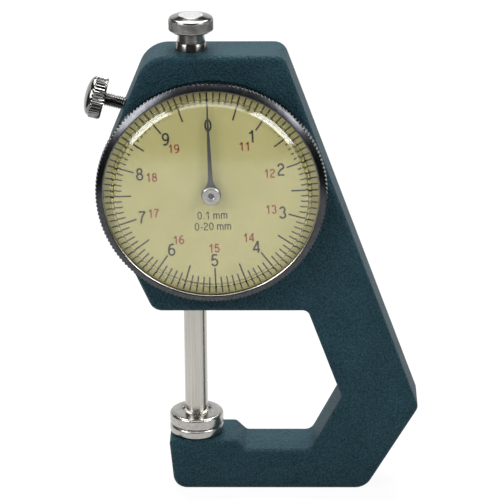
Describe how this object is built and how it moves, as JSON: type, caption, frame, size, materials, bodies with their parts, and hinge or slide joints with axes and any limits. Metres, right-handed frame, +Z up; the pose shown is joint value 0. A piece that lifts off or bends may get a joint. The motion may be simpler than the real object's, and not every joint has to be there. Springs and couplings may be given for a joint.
{
  "type": "dial thickness gauge",
  "caption": "Dial thickness gauge with a C-shaped painted frame, sprung spindle with a lift knob, flat round contacts, turning bezel and knurled lock screw.",
  "frame": {"origin": "on the base plane under the spindle's axis, at the middle of the frame's thickness", "axes": "+Z up along the spindle's lift, -Y out of the dial towards the reader, +X from the spindle towards the frame's column"},
  "size_m": [0.0716, 0.0185, 0.1073],
  "materials": {
    "casting": "dark teal-grey powder coat, fine grain",
    "bright_steel": "ground bright",
    "spring_steel": "blued spring steel",
    "plated": "bright plated and knurled",
    "dark_metal": "dark anodised, satin",
    "needle": "matt black paint",
    "brass": "turned",
    "dial_face": "printed, khaki-cream",
    "clear": "clear moulded crystal"
  },
  "bodies": {
    "body": {"frame": "casting", "upper_guide_bush": "bright_steel", "lower_guide_bush": "brass", "lower_anvil": "bright_steel", "movement_bridge": "brass", "bridge_screws": "bright_steel", "rear_bearing": "brass", "front_bearing": "brass", "bezel_seat_ring": "dark_metal", "seat_ring_screws": "bright_steel", "hairspring_stud": "brass", "hairspring": "spring_steel", "spring_post": "bright_steel", "return_spring": "spring_steel"},
    "spindle_set": {"spindle": "bright_steel", "rack": "brass", "upper_contact": "bright_steel", "lift_knob": "plated", "guide_pin": "bright_steel"},
    "pointer_set": {"pinion_arbor": "brass", "hairspring_collet": "brass", "pointer": "needle", "pointer_hub": "plated"},
    "bezel_set": {"bezel": "dark_metal", "crystal": "clear", "dial_plate": "dial_face", "dial_snap_ring": "bright_steel", "bezel_retaining_wire": "bright_steel"},
    "lock_pad_set": {"lock_pad": "brass"},
    "lock_screw_set": {"lock_screw": "plated"}
  },
  "joints": [
    {"name": "spindle_lift", "type": "slide", "parent": "body", "child": "spindle_set", "axis": [0, 0, 1], "range_m": [0, 0.02], "stiffness_N_per_m": 20, "springref_m": -0.03, "deforming": ["return_spring"]},
    {"name": "pointer_turn", "type": "hinge", "parent": "body", "child": "pointer_set", "pos_m": [0.00415, 0, 0.071], "axis": [0, 1, 0], "range_deg": [0, 720]},
    {"name": "bezel_turn", "type": "hinge", "parent": "body", "child": "bezel_set", "pos_m": [0.00415, 0, 0.071], "axis": [0, 1, 0], "continuous": true},
    {"name": "lock_pad_slide", "type": "slide", "parent": "body", "child": "lock_pad_set", "axis": [0.9659, 0, -0.2588], "range_m": [-0.0025, 0.0005]},
    {"name": "lock_screw_turn", "type": "hinge", "parent": "lock_pad_set", "child": "lock_screw_set", "pos_m": [-0.0025, 0, 0.0846], "axis": [0.9659, 0, -0.2588], "range_deg": [-1800, 360]}
  ],
  "couplings": [
    {"joint": "pointer_turn", "follows": "spindle_lift", "rad_per_m": 628.32},
    {"joint": "lock_screw_turn", "follows": "lock_pad_slide", "rad_per_m": 12566}
  ]
}
